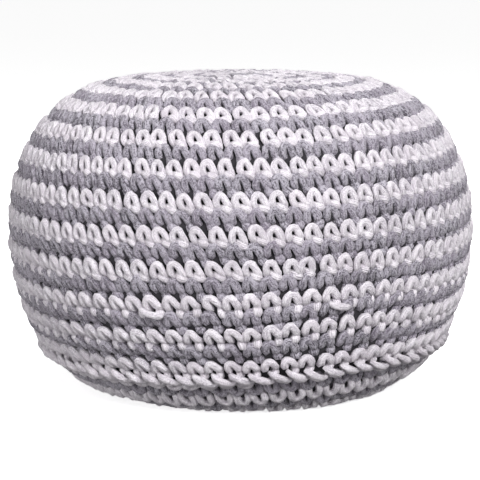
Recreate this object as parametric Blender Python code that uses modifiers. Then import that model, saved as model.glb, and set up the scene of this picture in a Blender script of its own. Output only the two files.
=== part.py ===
# Round crocheted pouf: a stuffed cover with a raised rib for each round of stitches,
# a base panel that turns up at its rim, and the chain that joins the two.
# Metres, Z up, origin at the middle of the face that rests on the floor.

import math

import bpy
from mathutils import Vector

COLLECTION_NAME = "crocheted_pouf"

# Outline of the stuffed pouf over the crests of its ribs, from the crown to the floor
OUTLINE = (
    # radius, height
    (0.0000, 0.3290),
    (0.0660, 0.3282),
    (0.1305, 0.3245),
    (0.1690, 0.3145),
    (0.2030, 0.2920),
    (0.2282, 0.2590),
    (0.2438, 0.2210),
    (0.2498, 0.1805),
    (0.2490, 0.1400),
    (0.2425, 0.1005),
    (0.2290, 0.0630),
    (0.2085, 0.0305),
    (0.1815, 0.0065),
    (0.1640, 0.0000),
)
CENTRIPETAL_POWER = 0.5
OUTLINE_STEPS = 24
TANGENT_STEP = 0.002

# Rounds of the cover, measured along the outline from the middle of the crown
COVER_ROUNDS = 27
ROUND_PITCH = 0.0168
COVER_END = 0.4690
RIB_DEPTH = 0.0042
# Places along one rib, as a share of its pitch, and how far up it stands there
RIB_SHAPE = (
    # share, rise
    (0.00, 0.00),
    (0.26, 1.00),
    (0.74, 1.00),
)

# Share of the first round's radius that stands as high as the ribs
CROWN_BUTTON = 0.7

# Chain that closes the seam: a ring with one lobe for each stitch
SEAM_ARC = 0.4760
CHAIN_LOBES = 76
CHAIN_RADIUS = 0.0062
CHAIN_WAIST = 0.72
CHAIN_INSET = 0.0018
CHAIN_SIDES_RESOLUTION = 2

# Base panel
BASE_ROUNDS = 4
BASE_START = 0.4832
PANEL_THICKNESS = 0.0110
PANEL_INSIDE_STEPS = 6

# Gap between pieces that touch, and the seat behind the chain
TOUCH_GAP = 0.0003
SEAT_DEPTH = CHAIN_RADIUS + CHAIN_INSET + TOUCH_GAP
SEAT_HALF_WIDTH = 0.0067

TURN_STEPS = 40
MERGE_DISTANCE = 0.00005

# Yarn colours, linear
WHITE_YARN = (0.80, 0.77, 0.80, 1.0)
GREY_YARN = (0.27, 0.26, 0.29, 1.0)
YARN_ROUGHNESS = 0.9


def clear_scene():
    for old_object in list(bpy.data.objects):
        bpy.data.objects.remove(old_object, do_unlink=True)


def make_collection(name):
    collection = bpy.data.collections.new(name)
    bpy.context.scene.collection.children.link(collection)
    return collection


def make_material(name, colour, roughness):
    material = bpy.data.materials.new(name)
    material.use_nodes = True
    shader = material.node_tree.nodes["Principled BSDF"]
    shader.inputs["Base Color"].default_value = colour
    shader.inputs["Roughness"].default_value = roughness
    shader.inputs["Metallic"].default_value = 0.0
    return material


def curve_between(before, start, end, after, share):
    # Centripetal curve through four points, read between the middle two
    knots = [0.0]
    for first, second in ((before, start), (start, end), (end, after)):
        knots.append(knots[-1] + (second - first).length ** CENTRIPETAL_POWER)
    place = knots[1] + share * (knots[2] - knots[1])

    def blend(first, second, low, high):
        return first.lerp(second, (place - low) / (high - low))

    near_start = blend(before, start, knots[0], knots[1])
    middle = blend(start, end, knots[1], knots[2])
    near_end = blend(end, after, knots[2], knots[3])
    lower = blend(near_start, middle, knots[0], knots[2])
    upper = blend(middle, near_end, knots[1], knots[3])
    return blend(lower, upper, knots[1], knots[2])


def smooth_outline(rows, steps):
    points = [Vector(row) for row in rows]
    # The crown is level on the axis and the rim meets the floor at a low angle
    first = Vector((-points[1].x, points[1].y))
    last = points[-1] * 2 - points[-2]
    guides = [first] + points + [last]
    curve = []
    for index in range(1, len(guides) - 2):
        for step in range(steps):
            curve.append(curve_between(*guides[index - 1:index + 3], step / steps))
    curve.append(points[-1])
    return curve


class Outline:
    # A curve of (radius, height) points, read by the length along it
    def __init__(self, points):
        self.points = points
        self.lengths = [0.0]
        for first, second in zip(points, points[1:]):
            self.lengths.append(self.lengths[-1] + (second - first).length)

    def length(self):
        return self.lengths[-1]

    def at(self, arc):
        arc = min(max(arc, 0.0), self.length())
        index = 1
        while self.lengths[index] < arc and index < len(self.points) - 1:
            index += 1
        low, high = self.lengths[index - 1], self.lengths[index]
        return self.points[index - 1].lerp(self.points[index], (arc - low) / (high - low))

    def outward(self, arc):
        along = self.at(arc + TANGENT_STEP) - self.at(arc - TANGENT_STEP)
        return Vector((-along.y, along.x)).normalized()

    def inset(self, arc, depth):
        return self.at(arc) - self.outward(arc) * depth


def ribbed_run(outline, start, end, rounds):
    # One rib for each round, standing up from a surface RIB_DEPTH below the outline
    pitch = (end - start) / rounds
    points = []
    for number in range(rounds):
        for share, rise in RIB_SHAPE:
            depth = RIB_DEPTH * (1.0 - rise)
            points.append(outline.inset(start + (number + share) * pitch, depth))
    points.append(outline.inset(end, RIB_DEPTH))
    return points


def offset_run(outline, start, depth):
    # From the seam to the floor, at one depth below the outline
    step = (outline.length() - start) / PANEL_INSIDE_STEPS
    return [outline.inset(start + step * index, depth) for index in range(PANEL_INSIDE_STEPS + 1)]


def keep_above(points, height):
    return [Vector((max(point.x, 0.0), max(point.y, height))) for point in points]


def turned_solid(name, points, material, collection):
    # The profile runs down its outer side, and is closed on the axis at both ends
    mesh = bpy.data.meshes.new(name)
    vertices = [(point.x, 0.0, point.y) for point in points]
    edges = [(index, index + 1) for index in range(len(vertices) - 1)]
    mesh.from_pydata(vertices, edges, [])
    mesh.materials.append(material)
    solid = bpy.data.objects.new(name, mesh)
    collection.objects.link(solid)
    turn = solid.modifiers.new("turn", "SCREW")
    turn.axis = "Z"
    turn.angle = 2 * math.pi
    turn.steps = TURN_STEPS
    turn.render_steps = TURN_STEPS
    turn.use_smooth_shade = True
    turn.use_merge_vertices = True
    turn.merge_threshold = MERGE_DISTANCE
    return solid


def make_cover(outline, material, collection):
    cover_start = COVER_END - COVER_ROUNDS * ROUND_PITCH
    # The first round closes the crown as a low button
    crown = [outline.at(0.0), outline.at(cover_start * CROWN_BUTTON)]
    ribs = ribbed_run(outline, cover_start, COVER_END, COVER_ROUNDS)
    # Seat behind the chain, then the underside, which lies inside the base panel
    seat_start = SEAM_ARC - SEAT_HALF_WIDTH
    seat = [
        outline.inset(seat_start, RIB_DEPTH),
        outline.inset(seat_start, SEAT_DEPTH),
        outline.inset(SEAM_ARC - TOUCH_GAP / 2, SEAT_DEPTH),
    ]
    underside_depth = PANEL_THICKNESS + TOUCH_GAP
    tucked = offset_run(outline, SEAM_ARC - TOUCH_GAP / 2, underside_depth)
    underside = keep_above(tucked, underside_depth) + [Vector((0.0, underside_depth))]
    return turned_solid("cover", crown + ribs + seat + underside, material, collection)


def make_base_panel(outline, material, collection):
    rim = [
        outline.inset(SEAM_ARC + TOUCH_GAP / 2, PANEL_THICKNESS),
        outline.inset(SEAM_ARC + TOUCH_GAP / 2, SEAT_DEPTH),
        outline.inset(SEAM_ARC + SEAT_HALF_WIDTH, SEAT_DEPTH),
    ]
    # The last rib runs straight into the flat face that rests on the floor
    ribs = ribbed_run(outline, BASE_START, outline.length(), BASE_ROUNDS)
    outer = keep_above(ribs[:-1] + [outline.at(outline.length())], 0.0)
    inner = offset_run(outline, SEAM_ARC + TOUCH_GAP / 2, PANEL_THICKNESS)
    inner = keep_above(inner[1:], PANEL_THICKNESS)
    floor_middle = [Vector((0.0, 0.0))]
    inner_middle = [Vector((0.0, PANEL_THICKNESS))]
    # Down the outside from the rim to the floor, with the inside read back up to the rim
    profile = inner_middle + inner[::-1] + rim + outer + floor_middle
    return turned_solid("base_panel", profile, material, collection)


def make_seam_chain(outline, material, collection):
    centre = outline.inset(SEAM_ARC, CHAIN_INSET)
    curve = bpy.data.curves.new("seam_chain", "CURVE")
    curve.dimensions = "3D"
    curve.bevel_depth = CHAIN_RADIUS
    curve.bevel_resolution = CHAIN_SIDES_RESOLUTION
    curve.materials.append(material)
    spline = curve.splines.new("POLY")
    count = 2 * CHAIN_LOBES
    spline.points.add(count - 1)
    for index, point in enumerate(spline.points):
        turn = 2 * math.pi * index / count
        point.co = (centre.x * math.cos(turn), centre.x * math.sin(turn), centre.y, 1.0)
        point.radius = 1.0 if index % 2 == 0 else CHAIN_WAIST
    spline.use_cyclic_u = True
    spline.use_smooth = True
    chain = bpy.data.objects.new("seam_chain", curve)
    collection.objects.link(chain)
    return chain


def build():
    clear_scene()
    collection = make_collection(COLLECTION_NAME)
    white = make_material("white_yarn", WHITE_YARN, YARN_ROUGHNESS)
    grey = make_material("grey_yarn", GREY_YARN, YARN_ROUGHNESS)
    outline = Outline(smooth_outline(OUTLINE, OUTLINE_STEPS))
    make_cover(outline, grey, collection)
    make_base_panel(outline, grey, collection)
    make_seam_chain(outline, white, collection)


build()
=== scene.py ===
import math
import random

import bmesh
import bpy
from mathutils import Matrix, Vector


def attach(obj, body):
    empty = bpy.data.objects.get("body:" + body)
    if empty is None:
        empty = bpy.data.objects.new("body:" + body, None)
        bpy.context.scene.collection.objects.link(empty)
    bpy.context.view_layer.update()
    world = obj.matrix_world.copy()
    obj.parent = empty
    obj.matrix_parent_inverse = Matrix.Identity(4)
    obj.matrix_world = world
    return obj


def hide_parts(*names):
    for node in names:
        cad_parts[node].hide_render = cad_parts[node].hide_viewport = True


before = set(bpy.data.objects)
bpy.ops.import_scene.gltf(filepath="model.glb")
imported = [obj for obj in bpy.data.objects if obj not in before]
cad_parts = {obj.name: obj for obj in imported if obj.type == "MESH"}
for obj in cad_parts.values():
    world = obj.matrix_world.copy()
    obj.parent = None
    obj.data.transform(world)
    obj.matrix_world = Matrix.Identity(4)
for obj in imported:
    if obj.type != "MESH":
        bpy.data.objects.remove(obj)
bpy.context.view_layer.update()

print("frame loaded:", ", ".join(sorted(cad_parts)))


# Shape of the stuffed pouf, crown to floor to the middle of the base, in metres
pouf = {
    "outline": (  # radius, height
        (0.0000, 0.3290), (0.0660, 0.3282), (0.1305, 0.3245), (0.1690, 0.3145),
        (0.2030, 0.2920), (0.2282, 0.2590), (0.2438, 0.2210), (0.2498, 0.1805),
        (0.2490, 0.1400), (0.2425, 0.1005), (0.2290, 0.0630), (0.2085, 0.0305),
        (0.1815, 0.0065), (0.1640, 0.0003), (0.0900, 0.0003), (0.0000, 0.0003),
    ),
    "stepsPerRow": 14,
    "seamArc": 0.4760,
    "seamLean": 0.0060,      # the seam sits lower on the left of the photograph than on the right
    "seamLumpArc": 0.4500,   # the seam follows the lumps of the rounds just above it
    "lumps": (  # angle, arc, reach in angle, reach in arc, shift down the side
        (26.0, 0.430, 26.0, 0.050, -0.0055),
        (-58.0, 0.360, 30.0, 0.060, 0.0050),
        (70.0, 0.380, 30.0, 0.060, 0.0030),
        (0.0, 0.190, 26.0, 0.040, 0.0020),
        (150.0, 0.300, 60.0, 0.090, -0.0030),
        (-140.0, 0.410, 45.0, 0.060, 0.0035),
        (30.0, 0.405, 22.0, 0.030, -0.0045),
        (-50.0, 0.395, 25.0, 0.030, 0.0020),
    ),
    "roundShift": (  # arc, how far the rounds lie off an even spacing there
        (0.000, 0.0000), (0.080, -0.0060), (0.150, -0.0080), (0.200, -0.0050), (0.300, -0.0050),
        (0.350, -0.0063), (0.385, -0.0047), (0.419, -0.0022), (0.452, 0.0012), (0.480, 0.0015),
    ),
    "baseFrom": 0.4800,      # rounds past this arc belong to the base
    "baseLevelFrom": 0.6000,  # the base's rounds follow the seam at its rim and are level past this arc
    "baseLevelReach": 0.0600,
}


def curveBetween(before, start, end, after, share):
    # centripetal curve through four points, read between the middle two
    knots = [0.0]
    for first, second in ((before, start), (start, end), (end, after)):
        knots.append(knots[-1] + math.sqrt((second - first).length))
    place = knots[1] + share * (knots[2] - knots[1])

    def blend(first, second, low, high):
        return first.lerp(second, (place - low) / (high - low))

    nearStart = blend(before, start, knots[0], knots[1])
    middle = blend(start, end, knots[1], knots[2])
    nearEnd = blend(end, after, knots[2], knots[3])
    return blend(blend(nearStart, middle, knots[0], knots[2]),
                 blend(middle, nearEnd, knots[1], knots[3]), knots[1], knots[2])


def smoothLine(points, steps):
    first = points[0] * 2 - points[1]
    last = points[-1] * 2 - points[-2]
    guides = [first] + points + [last]
    line = []
    for index in range(1, len(guides) - 2):
        for step in range(steps):
            line.append(curveBetween(*guides[index - 1:index + 3], step / steps))
    return line + [points[-1]]


class Outline:
    # radius and height of the pouf's side, read by the length along it from the crown
    def __init__(self, rows, steps):
        self.points = smoothLine([Vector(row) for row in rows], steps)
        self.arcs = [0.0]
        for first, second in zip(self.points, self.points[1:]):
            self.arcs.append(self.arcs[-1] + (second - first).length)

    def at(self, arc):
        arc = min(max(arc, 0.0), self.arcs[-1])
        low = 0
        high = len(self.arcs) - 1
        while high - low > 1:
            middle = (low + high) // 2
            if self.arcs[middle] > arc:
                high = middle
            else:
                low = middle
        share = (arc - self.arcs[low]) / (self.arcs[high] - self.arcs[low])
        return self.points[low].lerp(self.points[high], share)

    def outward(self, arc, step=0.003):
        along = self.at(arc + step) - self.at(arc - step)
        return Vector((-along.y, along.x)).normalized()


outline = Outline(pouf["outline"], pouf["stepsPerRow"])


def lumpShift(turn, arc):
    # how far a round is pushed down the side here, since no round is quite level
    shift = 0.0
    for angle, middle, reach, arcReach, push in pouf["lumps"]:
        away = (math.degrees(turn) - angle + 180.0) % 360.0 - 180.0
        shift += push * math.exp(-(away / reach) ** 2 - ((arc - middle) / arcReach) ** 2)
    return shift


def seamAt(turn):
    return pouf["seamArc"] - pouf["seamLean"] * math.sin(turn) + lumpShift(turn, pouf["seamLumpArc"])


# Small helpers for objects and node trees

def newObject(name, data):
    made = bpy.data.objects.new(name, data)
    bpy.context.scene.collection.objects.link(made)
    return made


def guideCurve(name, shape):
    # cords through given points, used only while the pieces are made
    curve = bpy.data.curves.new(name, "CURVE")
    curve.dimensions = "3D"
    for cord in shape["cords"]:
        spline = curve.splines.new("POLY")
        spline.points.add(len(cord) - 1)
        for point, (right, up, out, thick) in zip(spline.points, cord):
            point.co = (right / 1000, up / 1000, out / 1000, 1.0)
            point.radius = thick
    return newObject(name, curve)


def outlineGuide():
    curve = bpy.data.curves.new("outlineGuide", "CURVE")
    curve.dimensions = "3D"
    spline = curve.splines.new("POLY")
    spline.points.add(len(outline.points) - 1)
    for curvePoint, point in zip(spline.points, outline.points):
        curvePoint.co = (point.x, 0.0, point.y, 1.0)
    return newObject("outlineGuide", curve)


class Tree:
    # a node tree with short calls for adding and joining nodes
    def __init__(self, tree):
        self.tree = tree

    def add(self, kind, inputs=None, **settings):
        node = self.tree.nodes.new(kind)
        for key, value in settings.items():
            setattr(node, key, value)
        for key, value in (inputs or {}).items():
            self.feed(node.inputs[key], value)
        return node

    def feed(self, socket, value):
        if isinstance(value, bpy.types.NodeSocket):
            self.tree.links.new(value, socket)
        else:
            socket.default_value = value

    def math(self, operation, first, second=0.0, third=0.0):
        node = self.add("ShaderNodeMath", operation=operation)
        for socket, value in zip(node.inputs, (first, second, third)):
            self.feed(socket, value)
        return node.outputs[0]


def geometryTree(name, inputs):
    group = bpy.data.node_groups.new(name, "GeometryNodeTree")
    group.interface.new_socket("Geometry", in_out="INPUT", socket_type="NodeSocketGeometry")
    sockets = {}
    for label, kind, value in inputs:
        socket = group.interface.new_socket(label, in_out="INPUT", socket_type=kind)
        if value is not None:
            socket.default_value = value
        sockets[label] = socket.identifier
    group.interface.new_socket("Geometry", in_out="OUTPUT", socket_type="NodeSocketGeometry")
    tree = Tree(group)
    entry = tree.add("NodeGroupInput")
    leave = tree.add("NodeGroupOutput")
    return group, tree, entry, leave, sockets


def readAttribute(tree, name):
    node = tree.add("GeometryNodeInputNamedAttribute", {"Name": name}, data_type="FLOAT")
    return node.outputs["Attribute"]


def storeAttribute(tree, geometry, name, value, kind="FLOAT"):
    node = tree.add("GeometryNodeStoreNamedAttribute", {"Geometry": geometry, "Name": name},
                    data_type=kind, domain="POINT")
    tree.feed(node.inputs["Value"], value)
    return node.outputs["Geometry"]


def vectorMath(tree, operation, first, second):
    node = tree.add("ShaderNodeVectorMath", operation=operation)
    tree.feed(node.inputs[0], first)
    tree.feed(node.inputs["Scale" if operation == "SCALE" else 1], second)
    return node.outputs[0]


def cordAlong(tree, line, radius, sides, **settings):
    # a cord of round section, which keeps its length and its ring for the cord's material
    length = tree.add("GeometryNodeSplineParameter").outputs["Length"]
    line = storeAttribute(tree, line, "along", length)
    circle = tree.add("GeometryNodeCurvePrimitiveCircle", {"Resolution": sides, "Radius": radius})
    position = tree.add("GeometryNodeInputPosition").outputs[0]
    section = storeAttribute(tree, circle.outputs["Curve"], "ring", position, "FLOAT_VECTOR")
    sockets = {"Curve": line, "Profile Curve": section, "Fill Caps": True}
    return tree.add("GeometryNodeCurveToMesh", {**sockets, **settings}).outputs["Mesh"]


def coatedMesh(tree, geometry, material):
    smooth = tree.add("GeometryNodeSetShadeSmooth", {"Geometry": geometry}).outputs["Geometry"]
    coated = tree.add("GeometryNodeSetMaterial", {"Geometry": smooth, "Material": material})
    return coated.outputs["Geometry"]


def crochetTree():
    # lays one stitch at every place and wraps it onto the pouf's outline
    group, tree, entry, leave, sockets = geometryTree("crochetRounds", (
        ("Stitch", "NodeSocketObject", None),
        ("Outline", "NodeSocketObject", None),
        ("Cord Radius", "NodeSocketFloat", 0.0037),
        ("Cord Sides", "NodeSocketInt", 6),
        ("Wobble", "NodeSocketFloat", 0.0044),
        ("Wobble Scale", "NodeSocketFloat", 70.0),
        ("Lowest", "NodeSocketFloat", 0.0003),
        ("Cord Material", "NodeSocketMaterial", None),
    ))
    given = entry.outputs

    guide = tree.add("GeometryNodeObjectInfo", {"Object": given["Stitch"]}).outputs["Geometry"]
    thickness = tree.add("GeometryNodeInputRadius").outputs["Radius"]
    cord = cordAlong(tree, guide, given["Cord Radius"], given["Cord Sides"], Scale=thickness)
    laid = tree.add("GeometryNodeInstanceOnPoints", {"Points": given["Geometry"], "Instance": cord})
    realised = tree.add("GeometryNodeRealizeInstances", {"Geometry": laid.outputs["Instances"]})

    # the stitch's own sizes: right, up and out from the fabric
    position = tree.add("GeometryNodeInputPosition").outputs[0]
    own = tree.add("ShaderNodeSeparateXYZ", {"Vector": position}).outputs
    flip = readAttribute(tree, "flip")
    span = readAttribute(tree, "span")
    drop = readAttribute(tree, "drop")
    lean = readAttribute(tree, "lean")
    arc = readAttribute(tree, "arc")
    proud = readAttribute(tree, "proud")
    # the depth kept here sets the painted shade of the cords where they dip into the fabric
    real = storeAttribute(tree, realised.outputs["Geometry"], "dip", own["Z"])
    right = tree.math("SUBTRACT", own["X"], tree.math("MULTIPLY", own["Y"], lean))
    right = tree.math("MULTIPLY", tree.math("MULTIPLY", right, span), flip)
    down = tree.math("MULTIPLY", tree.math("MULTIPLY", own["Y"], drop), flip)
    arcHere = tree.math("SUBTRACT", arc, down)
    outlineCurve = tree.add("GeometryNodeObjectInfo", {"Object": given["Outline"]}).outputs["Geometry"]
    sample = tree.add("GeometryNodeSampleCurve", {"Curves": outlineCurve}, mode="LENGTH")
    tree.feed(sample.inputs["Length"], arcHere)
    onLine = tree.add("ShaderNodeSeparateXYZ", {"Vector": sample.outputs["Position"]}).outputs
    tangent = tree.add("ShaderNodeSeparateXYZ", {"Vector": sample.outputs["Tangent"]}).outputs
    out = tree.math("ADD", own["Z"], proud)
    radius = tree.math("SUBTRACT", onLine["X"], tree.math("MULTIPLY", out, tangent["Z"]))
    height = tree.math("MULTIPLY_ADD", out, tangent["X"], onLine["Z"])
    turn = tree.math("ADD", readAttribute(tree, "turn"), right)
    east = tree.math("MULTIPLY", radius, tree.math("SINE", turn))
    south = tree.math("MULTIPLY", radius, tree.math("MULTIPLY", tree.math("COSINE", turn), -1.0))
    wrapped = tree.add("ShaderNodeCombineXYZ", {"X": east, "Y": south, "Z": height}).outputs[0]

    # no two stitches are quite alike
    seed = readAttribute(tree, "seed")
    noise = tree.add("ShaderNodeTexNoise", {"Scale": given["Wobble Scale"], "Detail": 1.0, "W": seed,
                                            "Vector": wrapped}, noise_dimensions="4D")
    centred = vectorMath(tree, "SUBTRACT", noise.outputs["Color"], (0.5, 0.5, 0.5))
    moved = vectorMath(tree, "ADD", wrapped, vectorMath(tree, "SCALE", centred, given["Wobble"]))
    split = tree.add("ShaderNodeSeparateXYZ", {"Vector": moved}).outputs
    floorSafe = tree.math("MAXIMUM", split["Z"], given["Lowest"])
    final = tree.add("ShaderNodeCombineXYZ", {"X": split["X"], "Y": split["Y"], "Z": floorSafe}).outputs[0]
    shaped = tree.add("GeometryNodeSetPosition", {"Geometry": real, "Position": final}).outputs["Geometry"]
    tree.feed(leave.inputs["Geometry"], coatedMesh(tree, shaped, given["Cord Material"]))
    return group, sockets


def noiseValue(tree, where, scale, detail, roughness=0.5):
    noise = tree.add("ShaderNodeTexNoise", {"Vector": where, "Scale": scale, "Detail": detail,
                                            "Roughness": roughness})
    return noise.outputs["Fac"]


def runTree(name, base, group, values):
    # evaluates a tree on an object and keeps the result as a plain mesh
    modifier = base.modifiers.new("make", "NODES")
    modifier.node_group = group
    for identifier, value in values.items():
        modifier[identifier] = value
    bpy.context.view_layer.update()
    evaluated = base.evaluated_get(bpy.context.evaluated_depsgraph_get())
    mesh = bpy.data.meshes.new_from_object(evaluated)
    mesh.name = name
    base.modifiers.remove(modifier)
    bpy.data.objects.remove(base, do_unlink=True)
    made = newObject(name, mesh)
    print(name, "triangles:", sum(len(face.vertices) - 2 for face in mesh.polygons))
    return made


def placesMesh(name, places):
    # one point for each stitch, with its own sizes as attributes
    mesh = bpy.data.meshes.new(name)
    mesh.from_pydata([(0.0, 0.0, 0.0)] * len(places), [], [])
    for key in places[0]:
        layer = mesh.attributes.new(key, "FLOAT", "POINT")
        layer.data.foreach_set("value", [place[key] for place in places])
    return newObject(name, mesh)


def addBump(tree, shader, height, strength, distance):
    bump = tree.add("ShaderNodeBump", {"Height": height, "Strength": strength, "Distance": distance})
    tree.feed(shader.inputs["Normal"], bump.outputs["Normal"])


def newMaterial(name):
    material = bpy.data.materials.new(name)
    material.use_nodes = True
    return material, Tree(material.node_tree), material.node_tree.nodes["Principled BSDF"]


# Cord materials, with the values that both cords share and then their own
cordLook = {
    "fibreRoughness": 0.6,
    "grainRoughness": 0.7,
    "blotchScale": 38.0,
    "blotchShare": 0.15,
    "strandMiddle": 0.6,
    "tintSpread": 7.0,
    "specular": 0.2,
    "sheenRoughness": 0.5,
    # depths for the painted shade where a cord dips into the fabric
    "dipRange": (-0.0110, -0.0058),  # a cord is darkest at the first depth and unshaded from the second
    "grainRelief": 0.5,
    "strandRelief": 0.35,
    "bumpDistance": 0.0022,
}


def cordMaterial(name, cord):
    material, tree, shader = newMaterial(name)
    ring = tree.add("ShaderNodeAttribute", attribute_name="ring").outputs["Vector"]
    along = tree.add("ShaderNodeAttribute", attribute_name="along").outputs["Fac"]
    tone = tree.add("ShaderNodeAttribute", attribute_name="tone").outputs["Fac"]
    ringSplit = tree.add("ShaderNodeSeparateXYZ", {"Vector": ring}).outputs
    stretched = tree.math("MULTIPLY_ADD", along, cord["fibreStretch"], tone)
    sockets = {"X": ringSplit["X"], "Y": ringSplit["Y"], "Z": stretched}
    straight = tree.add("ShaderNodeCombineXYZ", sockets).outputs[0]
    where = tree.add("ShaderNodeTexCoord").outputs["Object"]
    fibres = noiseValue(tree, straight, cord["fibreScale"], 3.0, cordLook["fibreRoughness"])
    blotch = noiseValue(tree, where, cordLook["blotchScale"], 2.0)
    grain = noiseValue(tree, where, cord["grainScale"], 2.0, cordLook["grainRoughness"])
    # the strands of the cord run along it with a slow twist
    around = tree.math("ARCTAN2", ringSplit["Y"], ringSplit["X"])
    twisted = tree.math("MULTIPLY", along, cord["twist"])
    swirl = tree.math("MULTIPLY_ADD", fibres, cord["strandWander"], twisted)
    wave = tree.math("SINE", tree.math("MULTIPLY_ADD", around, cord["strands"] / 2, swirl))
    strands = tree.math("ABSOLUTE", wave)
    fibreShare = 1.0 - cordLook["blotchShare"] - cord["grainShare"]
    mixed = tree.math("MULTIPLY_ADD", grain, cord["grainShare"], tree.math("MULTIPLY", fibres, fibreShare))
    mixed = tree.math("MULTIPLY_ADD", blotch, cordLook["blotchShare"], mixed)
    # painted shade: colour is darker in the grooves between the strands and lighter on their crowns
    raised = tree.math("SUBTRACT", strands, cordLook["strandMiddle"])
    mixed = tree.math("MULTIPLY_ADD", raised, cord["strandShade"], mixed)
    ramp = tree.add("ShaderNodeValToRGB", {"Fac": mixed})
    ramp.color_ramp.elements[0].position = cord["ramp"][0]
    ramp.color_ramp.elements[0].color = cord["dark"]
    ramp.color_ramp.elements[1].position = cord["ramp"][1]
    ramp.color_ramp.elements[1].color = cord["light"]
    # some stitches have more of the tint than others
    ownTint = tree.math("FRACT", tree.math("MULTIPLY", tone, cordLook["tintSpread"]))
    tint = tree.add("ShaderNodeMix", data_type="RGBA", blend_type="MIX")
    tree.feed(tint.inputs["Factor"], tree.math("MULTIPLY", ownTint, cord["tintShare"]))
    tree.feed(tint.inputs["A"], ramp.outputs["Color"])
    tree.feed(tint.inputs["B"], cord["tint"])
    shader.inputs["Roughness"].default_value = cord["roughness"]
    shader.inputs["Specular IOR Level"].default_value = cordLook["specular"]
    shader.inputs["Sheen Weight"].default_value = cord["sheen"]
    shader.inputs["Sheen Roughness"].default_value = cordLook["sheenRoughness"]
    # painted shade: a cord's colour is darkened where it dips into the fabric
    dip = tree.add("ShaderNodeAttribute", attribute_name="dip").outputs["Fac"]
    deepest, highest = cordLook["dipRange"]
    shade = tree.add("ShaderNodeMapRange", {"Value": dip, "From Min": deepest, "From Max": highest,
                                            "To Min": cord["paintedDipShade"], "To Max": 1.0})
    shaded = vectorMath(tree, "SCALE", tint.outputs["Result"], shade.outputs["Result"])
    tree.feed(shader.inputs["Base Color"], shaded)
    relief = tree.math("MULTIPLY_ADD", strands, cordLook["strandRelief"], fibres)
    relief = tree.math("MULTIPLY_ADD", grain, cordLook["grainRelief"], relief)
    addBump(tree, shader, relief, cord["relief"], cordLook["bumpDistance"])
    return material


whiteCord = cordMaterial("whiteCord", {
    "light": (0.97, 0.925, 0.98, 1.0), "dark": (0.59, 0.54, 0.61, 1.0),
    "tint": (0.88, 0.80, 0.87, 1.0), "tintShare": 0.35,
    "fibreScale": 560.0, "fibreStretch": 0.20, "grainScale": 700.0, "grainShare": 0.42,
    "ramp": (0.44, 0.55), "roughness": 0.9, "sheen": 0.25, "relief": 1.0,
    "strands": 16, "twist": 300.0, "strandWander": 4.0, "strandShade": 0.065, "paintedDipShade": 0.45,
})
greyCord = cordMaterial("greyCord", {
    "light": (0.54, 0.51, 0.58, 1.0), "dark": (0.105, 0.092, 0.118, 1.0),
    "tint": (0.42, 0.36, 0.45, 1.0), "tintShare": 0.35,
    "fibreScale": 560.0, "fibreStretch": 0.25, "grainScale": 640.0, "grainShare": 0.50,
    "ramp": (0.44, 0.54), "roughness": 0.92, "sheen": 0.2, "relief": 1.0,
    "strands": 16, "twist": 300.0, "strandWander": 4.4, "strandShade": 0.040, "paintedDipShade": 0.25,
})


# A stitch is a cord that rises in two legs, and a loop at its feet that shows beside the round
# below. The white stitch of the base has no loop. Each point is right, up and out from the
# fabric in millimetres, and thickness.
stitch = {
    "cords": (
        ((-2.6, -17.0, -9.0, 0.85), (-4.0, -15.4, -5.2, 0.97), (-5.3, -12.6, -3.8, 1.0),
         (-5.7, -9.4, -3.7, 1.0), (-5.0, -6.3, -3.7, 1.0), (-3.0, -4.2, -3.7, 1.02),
         (-0.8, -3.6, -3.7, 1.02), (1.3, -4.8, -3.7, 1.0), (3.2, -7.6, -3.7, 0.97),
         (4.7, -10.8, -3.7, 0.97), (6.2, -14.0, -4.0, 1.02), (7.4, -17.0, -7.0, 0.95)),
        ((-1.6, -13.8, -10.5, 0.85), (0.4, -15.0, -7.0, 1.0), (2.8, -16.4, -5.2, 1.2),
         (5.4, -17.6, -4.7, 1.3), (7.6, -19.0, -6.4, 1.15), (8.8, -20.0, -11.0, 0.8)),
    ),
    "width": 18.7,
    "cordRadius": 0.0038,
    "cordSides": 6,
}
greyStitch = {
    "cords": (
        ((-3.4, -14.8, -10.5, 0.85), (-4.3, -13.6, -7.0, 0.97), (-5.3, -11.4, -4.8, 1.0),
         (-5.7, -8.6, -4.0, 1.0), (-5.3, -5.8, -3.9, 1.0), (-3.6, -3.6, -3.9, 1.04),
         (-1.0, -3.2, -3.9, 1.05), (1.4, -4.6, -3.9, 1.04), (3.1, -7.0, -3.9, 1.02),
         (4.6, -9.8, -4.0, 1.02), (5.8, -12.2, -5.0, 1.0), (6.8, -14.4, -10.0, 0.9)),
        ((6.0, -15.2, -11.0, 0.9), (6.9, -16.2, -7.6, 1.1), (7.9, -17.5, -5.8, 1.24),
         (8.9, -18.8, -5.7, 1.24), (9.8, -20.2, -7.4, 1.08), (10.6, -21.2, -11.0, 0.8)),
    ),
    "width": 18.7,
    "cordRadius": 0.0044,
    "cordSides": 6,
}
baseStitch = {
    "cords": (
        ((-3.6, -19.4, -10.0, 0.85), (-4.6, -17.0, -5.6, 1.0), (-5.8, -13.4, -3.9, 1.05),
         (-6.2, -9.4, -3.8, 1.05), (-5.4, -5.6, -3.8, 1.05), (-3.2, -3.2, -3.8, 1.06),
         (-0.8, -2.8, -3.8, 1.06), (1.8, -4.2, -3.8, 1.05), (4.0, -7.4, -3.8, 1.05),
         (5.4, -11.0, -3.8, 1.05), (6.6, -14.8, -4.4, 1.05), (7.6, -19.0, -8.0, 0.95)),
    ),
    "width": 18.7,
    "cordRadius": 0.0038,
    "cordSides": 6,
}
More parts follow.
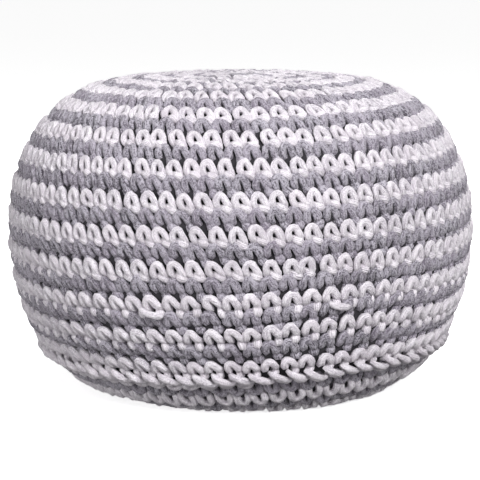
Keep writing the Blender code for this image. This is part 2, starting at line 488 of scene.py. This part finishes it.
lowWhiteStitch = {
    "cords": (
        ((-3.0, -16.0, -10.0, 0.95), (-3.4, -14.4, -6.2, 1.08), (-3.9, -11.6, -4.0, 1.14),
         (-4.1, -8.4, -3.6, 1.14), (-3.6, -5.4, -3.6, 1.1), (-1.8, -3.7, -3.7, 1.08),
         (0.6, -3.6, -3.7, 1.08), (2.6, -5.0, -3.6, 1.08), (4.4, -7.4, -3.6, 1.06),
         (6.2, -10.0, -3.8, 1.04), (8.0, -12.2, -5.2, 1.0), (9.4, -13.6, -9.5, 0.85)),
        ((6.4, -14.4, -10.0, 0.95), (6.8, -15.7, -6.6, 1.12), (7.1, -17.7, -4.5, 1.28),
         (7.3, -19.8, -4.4, 1.28), (7.5, -21.9, -6.6, 1.12), (7.6, -23.0, -11.0, 0.85)),
    ),
    "width": 19.2,
    "cordRadius": 0.0038,
    "cordSides": 6,
}
lowGreyStitch = {
    "cords": (
        ((-2.6, -14.4, -10.5, 0.85), (-3.5, -13.0, -6.8, 0.97), (-4.3, -10.6, -4.7, 1.0),
         (-4.6, -7.4, -4.2, 1.0), (-4.0, -4.4, -4.2, 1.0), (-2.1, -2.6, -4.2, 1.03),
         (0.5, -2.4, -4.2, 1.03), (2.6, -4.2, -4.1, 1.03), (3.9, -6.8, -4.0, 1.03),
         (5.0, -9.6, -4.2, 1.03), (6.2, -12.2, -5.4, 1.0), (7.2, -14.2, -10.5, 0.85)),
        ((6.8, -15.2, -11.0, 0.95), (7.2, -16.2, -7.8, 1.08), (7.6, -17.7, -6.2, 1.2),
         (8.0, -19.2, -6.1, 1.2), (8.2, -20.8, -7.8, 1.08), (8.3, -21.8, -11.5, 0.85)),
    ),
    "width": 19.2,
    "cordRadius": 0.0047,
    "cordSides": 6,
}


def tableValue(rows, key, column=1):
    for low, high in zip(rows, rows[1:]):
        if key <= high[0]:
            share = min(max((key - low[0]) / (high[0] - low[0]), 0.0), 1.0)
            return low[column] + share * (high[column] - low[column])
    return rows[-1][column]


# Rounds of the cover and of the base: a white and a grey cord that spiral side by side
roundPitch = 0.0168
cover = {
    "whiteTop": 0.4524,     # arc of the last white round's tops, at the front
    "greyOffset": roundPitch,
    "greySetBack": 0.0014,
    "range": (0.0080, 0.4720),
    "stitchCounts": (  # arc, stitches in a round there
        (0.000, 3.2), (0.155, 58.0), (0.190, 65.0), (0.225, 76.0), (0.251, 84.0),
        (0.370, 84.0), (0.384, 78.0), (0.420, 78.0), (0.435, 76.0), (0.480, 76.0),
    ),
    "leanRows": (  # arc, lean at the front, further lean towards the left side
        (0.15, 0.00, 0.00), (0.30, 0.00, 0.20), (0.36, 0.00, 0.36), (0.40, 0.00, 0.45),
        (0.46, 0.06, 0.40),
    ),
    "flip": 1.0,            # a cover's stitch stands up from the seam, a base's stitch hangs from it
    "columnsFrom": 0.2450,
    "drift": 0.21,          # share of a stitch that each white round moves on, above driftFrom
    "driftFrom": 0.3680,
    "driftRounds": 4.0,     # and no further after this many
    "seed": 11,
}
base = {
    "whiteTop": 0.5225,
    "greyOffset": -roundPitch,
    "greySetBack": 0.0024,
    "range": (0.4860, 0.7020),
    "stitchCounts": (
        (0.483, 76.0), (0.509, 73.0), (0.549, 61.0), (0.714, 2.8),
    ),
    "leanRows": ((0.48, 0.05, 0.10), (0.56, 0.0, 0.0)),
    "flip": -1.0,
    "columnsFrom": 1.0,     # past its last round, so none of them stands in columns
    "drift": 0.0,
    "driftFrom": 0.0,
    "driftRounds": 0.0,
    "seed": 23,
}
seamRoom = {"kept": 0.0060, "leastShare": 0.4}   # no stitch fits in less than this share of a round

# How far stitches and links differ from one another
spread = {
    "turn": 0.03,           # share of a stitch
    "arc": 0.0004,
    "proud": 0.0004,
    "stitchSpan": (0.97, 1.06),
    "stitchDrop": (0.97, 1.04),
    "stitchLean": 0.06,
    "linkSpan": (0.97, 1.04),
    "linkDrop": (0.92, 1.08),
    "linkLean": 0.05,
    "seed": (0.0, 40.0),
}


def roundShift(turn, arc):
    if arc < pouf["baseFrom"]:
        return lumpShift(turn, arc) + tableValue(pouf["roundShift"], arc)
    fade = min(max((pouf["baseLevelFrom"] - arc) / pouf["baseLevelReach"], 0.0), 1.0)
    return (seamAt(turn) - pouf["seamArc"]) * fade


def spiralSteps(spiral, zero):
    # places along the spiral, in laps from the front, with the number of stitches in a lap there
    perLap = 2 * roundPitch
    low, high = spiral["range"]
    steps = []
    lap = math.floor((zero - high) / perLap)
    # low rounds hold an even number each, so that their stitches stand in columns at the front
    while zero - perLap * (lap + 0.5) >= spiral["columnsFrom"]:
        count = 2 * round(tableValue(spiral["stitchCounts"], zero - perLap * lap) / 2)
        steps += [(lap - 0.5 + (column + 0.5) / count, count) for column in range(count)]
        lap += 1
    phase = lap - 0.5
    while zero - perLap * phase > low:
        count = tableValue(spiral["stitchCounts"], zero - perLap * phase)
        steps.append((phase + 0.5 / count, count))
        phase += 1 / count
    return steps


def spiralPlaces(spiral, isGrey):
    chance = random.Random(spiral["seed"] + isGrey)
    zero = spiral["whiteTop"] + spiral["greyOffset"] * isGrey
    perLap = 2 * roundPitch
    low, high = spiral["range"]
    places = []
    for phase, count in spiralSteps(spiral, zero):
        roundsUp = (spiral["driftFrom"] - zero) / perLap + phase
        phase += spiral["drift"] * min(max(roundsUp, 0.0), spiral["driftRounds"]) / count
        turn = 2 * math.pi * (phase - round(phase))
        arc = zero - perLap * phase
        if low <= arc <= high:
            shifted = arc + roundShift(turn, arc)
            room = (seamAt(turn) - shifted) * spiral["flip"] - seamRoom["kept"]
            if room < seamRoom["leastShare"] * roundPitch:
                continue
            middleLean = tableValue(spiral["leanRows"], arc, 1)
            sideLean = tableValue(spiral["leanRows"], arc, 2)
            places.append({
                "turn": turn + chance.gauss(0.0, spread["turn"]) * 2 * math.pi / count,
                "arc": shifted + chance.gauss(0.0, spread["arc"]),
                "span": 2 * math.pi / count * 1000 * chance.uniform(*spread["stitchSpan"]),
                "drop": min(1.0, room / roundPitch) * chance.uniform(*spread["stitchDrop"]),
                "lean": middleLean - sideLean * math.sin(turn) + chance.gauss(0.0, spread["stitchLean"]),
                "proud": chance.gauss(0.0, spread["proud"]) - spiral["greySetBack"] * isGrey,
                "flip": spiral["flip"],
                "tone": chance.random(),
                "seed": chance.uniform(*spread["seed"]),
            })
    return places


crochetGroup, crochetSockets = crochetTree()
outlineObject = outlineGuide()


def crochet(name, places, material, shape):
    guide = guideCurve(name + "Guide", shape)
    for place in places:
        place["span"] /= shape["width"]
    piece = runTree(name, placesMesh(name + "Places", places), crochetGroup, {
        crochetSockets["Stitch"]: guide,
        crochetSockets["Outline"]: outlineObject,
        crochetSockets["Cord Radius"]: shape["cordRadius"],
        crochetSockets["Cord Sides"]: shape["cordSides"],
        crochetSockets["Cord Material"]: material,
    })
    bpy.data.objects.remove(guide, do_unlink=True)
    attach(piece, "root")
    return piece


# zone, arcs from and to, whether its stitches are the low ones
coverZones = (("crown", 0.0, 0.252, False), ("belly", 0.252, 0.356, False), ("foot", 0.356, 0.5, True))
cordKinds = (("white", whiteCord, stitch, lowWhiteStitch), ("grey", greyCord, greyStitch, lowGreyStitch))
for label, material, midStitch, lowStitch in cordKinds:
    isGrey = label == "grey"
    places = spiralPlaces(cover, isGrey)
    for zone, top, bottom, isLow in coverZones:
        chosen = [place for place in places if top <= place["arc"] < bottom]
        crochet(label + "_rounds_" + zone, chosen, material, lowStitch if isLow else midStitch)
    basePlaces = spiralPlaces(base, isGrey)
    piece = crochet(label + "_rounds_base", basePlaces, material, midStitch if isGrey else baseStitch)
    if isGrey:
        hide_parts("base_panel")
    print(label, "stitches:", len(places) + len(basePlaces))


# The chain that joins the cover and the base: each link is a slanting cord with a thinner one under it
chain = {
    "links": 76,
    "width": 1000.0,
    "proud": 0.0020,
    "cords": (
        ((-10.0, 4.6, -5.5, 0.7), (-7.2, 4.0, -2.0, 1.0), (-3.2, 2.9, -0.4, 1.12), (1.2, 0.9, 0.0, 1.15),
         (5.2, -1.3, -0.2, 1.08), (8.2, -3.0, -1.6, 0.95), (10.4, -4.4, -5.5, 0.7)),
        ((-3.4, -4.2, -5.5, 0.7), (-0.6, -4.0, -2.6, 0.85), (3.6, -4.3, -1.6, 0.9), (8.0, -4.4, -1.6, 0.9),
         (12.0, -3.2, -2.4, 0.85), (14.6, -2.2, -5.5, 0.7)),
    ),
    "cordRadius": 0.0032,
    "cordSides": 6,
    "seed": 5,
}


def chainPlaces():
    chance = random.Random(chain["seed"])
    step = 2 * math.pi / chain["links"]
    places = []
    for number in range(chain["links"]):
        turn = number * step
        turn = turn - 2 * math.pi if turn > math.pi else turn
        arc = seamAt(turn)
        places.append({
            "turn": turn + chance.gauss(0.0, spread["turn"]) * step,
            "arc": arc + chance.gauss(0.0, spread["arc"]),
            "span": 1000 / outline.at(arc).x * chance.uniform(*spread["linkSpan"]),
            "drop": chance.uniform(*spread["linkDrop"]),
            "lean": chance.gauss(0.0, spread["linkLean"]),
            "proud": chain["proud"] + chance.gauss(0.0, spread["proud"]),
            "flip": 1.0,
            "tone": chance.random(),
            "seed": chance.uniform(*spread["seed"]),
        })
    return places


chainPiece = crochet("joining_chain", chainPlaces(), whiteCord, chain)
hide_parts("seam_chain")


# Two ends of white cord that were left lying over a grey round
tails = {
    "places": ((-20.6, 0.4008, 0.3), (22.8, 0.3940, 0.7)),   # angle, arc, tone
    "proud": 0.0012,
    "seed": 3.0,
    "cords": (
        ((-11.0, 3.0, -7.0, 0.7), (-9.0, 2.4, -2.0, 0.95), (-4.8, 1.0, 0.4, 1.05), (0.4, -0.4, 1.0, 1.1),
         (5.4, -1.6, 0.4, 1.05), (9.2, -2.2, -2.0, 0.95), (11.2, -2.4, -7.0, 0.7)),
    ),
    "width": 1000.0,
    "cordRadius": 0.0033,
    "cordSides": 8,
}


def tailPlaces():
    places = []
    for angle, arc, tone in tails["places"]:
        places.append({
            "turn": math.radians(angle),
            "arc": arc,
            "span": 1000 / outline.at(arc).x,
            "drop": 1.0,
            "lean": 0.0,
            "proud": tails["proud"],
            "flip": 1.0,
            "tone": tone,
            "seed": tails["seed"],
        })
    return places


crochet("yarn_tails", tailPlaces(), whiteCord, tails)


# The rounds start from small coils of cord in the middle of the crown and of the base
coils = {
    "turns": 2.0,
    "radii": (0.0030, 0.0160),
    "stepsPerTurn": 14,
    "slope": 0.0010,
    "tuckFrom": 0.85,       # share of the coil after which its end dives into the fabric
    "tuck": 0.0050,
    "floorGap": 0.0001,
    "cordRadius": 0.0040,
    "cordSides": 8,
}


def coilPiece(name, height, side):
    curve = bpy.data.curves.new(name + "Guide", "CURVE")
    curve.dimensions = "3D"
    spline = curve.splines.new("POLY")
    count = int(coils["turns"] * coils["stepsPerTurn"])
    spline.points.add(count)
    inner, outer = coils["radii"]
    for index, point in enumerate(spline.points):
        share = index / count
        angle = 2 * math.pi * coils["turns"] * share
        radius = inner + (outer - inner) * share
        tuck = max(share - coils["tuckFrom"], 0.0) / (1 - coils["tuckFrom"])
        sunk = coils["slope"] * share + coils["tuck"] * tuck
        point.co = (radius * math.sin(angle), -radius * math.cos(angle) * side, height - side * sunk, 1.0)
    group, tree, entry, leave, sockets = geometryTree("coil", (
        ("Radius", "NodeSocketFloat", coils["cordRadius"]),
        ("Sides", "NodeSocketInt", coils["cordSides"]),
        ("Cord Material", "NodeSocketMaterial", None),
    ))
    given = entry.outputs
    cord = cordAlong(tree, given["Geometry"], given["Radius"], given["Sides"])
    tree.feed(leave.inputs["Geometry"], coatedMesh(tree, cord, given["Cord Material"]))
    piece = runTree(name, newObject(name + "Base", curve), group, {sockets["Cord Material"]: greyCord})
    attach(piece, "root")


coilPiece("crown_coil", outline.points[0].y - coils["cordRadius"], 1.0)
coilPiece("base_coil", outline.points[-1].y + coils["floorGap"] + coils["cordRadius"], -1.0)
bpy.data.objects.remove(outlineObject, do_unlink=True)


# The stuffed body that shows in the gaps of the stitches, coloured near black as painted shade
body = {
    "depth": 0.0070,
    "rings": 90,
    "steps": 96,
    "lowest": 0.0015,
    "weld": 0.00005,
    "colour": (0.030, 0.027, 0.033, 1.0),
    "shadowShare": 0.6,
    "noiseScale": 220.0,
    "roughness": 0.95,
    "relief": 0.5,
    "bumpDistance": 0.001,
}


def paintedShadeBodyMaterial():
    # painted shade: a near-black colour, mottled darker by noise, stands for the shade in the gaps between
    # stitches
    material, tree, shader = newMaterial("paintedShadeInner")
    where = tree.add("ShaderNodeTexCoord").outputs["Object"]
    noise = noiseValue(tree, where, body["noiseScale"], 3.0)
    ramp = tree.add("ShaderNodeValToRGB", {"Fac": noise})
    shadow = [body["shadowShare"] * value for value in body["colour"][:3]]
    ramp.color_ramp.elements[0].color = (*shadow, 1.0)
    ramp.color_ramp.elements[1].color = body["colour"]
    tree.feed(shader.inputs["Base Color"], ramp.outputs["Color"])
    shader.inputs["Roughness"].default_value = body["roughness"]
    addBump(tree, shader, noise, body["relief"], body["bumpDistance"])
    return material


def stuffedBody():
    mesh = bpy.data.meshes.new("stuffed_body")
    grid = bmesh.new()
    rings = []
    count = body["steps"]
    turns = [2 * math.pi * step / count for step in range(count)]
    for index in range(body["rings"] + 1):
        arc = outline.arcs[-1] * index / body["rings"]
        point = outline.at(arc) - outline.outward(arc) * body["depth"]
        radius = max(point.x, 0.0)
        height = max(point.y, body["lowest"])
        rings.append([grid.verts.new((radius * math.sin(turn), -radius * math.cos(turn), height))
                      for turn in turns])
    for upper, lower in zip(rings, rings[1:]):
        for step in range(count):
            after = (step + 1) % count
            grid.faces.new((upper[step], lower[step], lower[after], upper[after]))
    bmesh.ops.remove_doubles(grid, verts=grid.verts, dist=body["weld"])
    bmesh.ops.recalc_face_normals(grid, faces=grid.faces)
    for face in grid.faces:
        face.smooth = True
    grid.to_mesh(mesh)
    grid.free()
    mesh.materials.append(paintedShadeBodyMaterial())
    return newObject("stuffed_body", mesh)


stuffing = stuffedBody()
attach(stuffing, "root")
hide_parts("cover")
print("stuffed body made")


# Floor, lights and camera
studio = {
    "axisHeight": 0.1504,       # height of the axis point that the camera looks at
    "distance": 1.780,
    "elevation": math.radians(9.5),
    "lens": 122.5,
    "shift": (-0.00125, -0.005),
    "floorSize": 60.0,
    "floorHeight": -0.0004,
    "floorColour": (0.92, 0.92, 0.92, 1.0),
    "floorGlow": 0.70,
    "skyStrength": 0.28,
    "lightAim": Vector((0.0, 0.0, 0.15)),
    "lights": (  # name, place, size, power
        ("keyLight", (1.0, -2.0, 1.6), 1.4, 70.0),
        ("fillLight", (-1.8, -1.9, 0.9), 1.8, 34.0),
        ("topLight", (0.2, 0.3, 2.6), 2.0, 19.0),
        ("backLight", (0.5, 2.3, 1.4), 2.0, 42.0),
    ),
}
white = (1.0, 1.0, 1.0, 1.0)


def makeFloor():
    bpy.ops.mesh.primitive_plane_add(size=studio["floorSize"], location=(0.0, 0.0, studio["floorHeight"]))
    floor = bpy.context.object
    floor.name = "floor"
    material, tree, shader = newMaterial("paleFloor")
    shader.inputs["Base Color"].default_value = studio["floorColour"]
    shader.inputs["Roughness"].default_value = 1.0
    shader.inputs["Emission Color"].default_value = white
    shader.inputs["Emission Strength"].default_value = studio["floorGlow"]
    floor.data.materials.append(material)
    floor.visible_diffuse = False


def areaLight(name, place, size, power):
    light = bpy.data.lights.new(name, "AREA")
    light.shape = "DISK"
    light.size = size
    light.energy = power
    lamp = newObject(name, light)
    lamp.location = place
    lamp.rotation_euler = (studio["lightAim"] - Vector(place)).to_track_quat("-Z", "Y").to_euler()


def makeStudio():
    makeFloor()
    world = bpy.data.worlds.new("studio")
    world.use_nodes = True
    sky = world.node_tree.nodes["Background"]
    sky.inputs["Color"].default_value = white
    sky.inputs["Strength"].default_value = studio["skyStrength"]
    bpy.context.scene.world = world
    for row in studio["lights"]:
        areaLight(*row)
    camera = bpy.data.cameras.new("photoView")
    camera.lens = studio["lens"]
    camera.sensor_width = 36.0
    camera.shift_x, camera.shift_y = studio["shift"]
    holder = newObject("photoView", camera)
    target = Vector((0.0, 0.0, studio["axisHeight"]))
    back = Vector((0.0, -math.cos(studio["elevation"]), math.sin(studio["elevation"])))
    holder.location = target + back * studio["distance"]
    holder.rotation_euler = (-back).to_track_quat("-Z", "Y").to_euler()
    bpy.context.scene.camera = holder
    bpy.context.scene.view_settings.view_transform = "Standard"


makeStudio()
print("studio made")
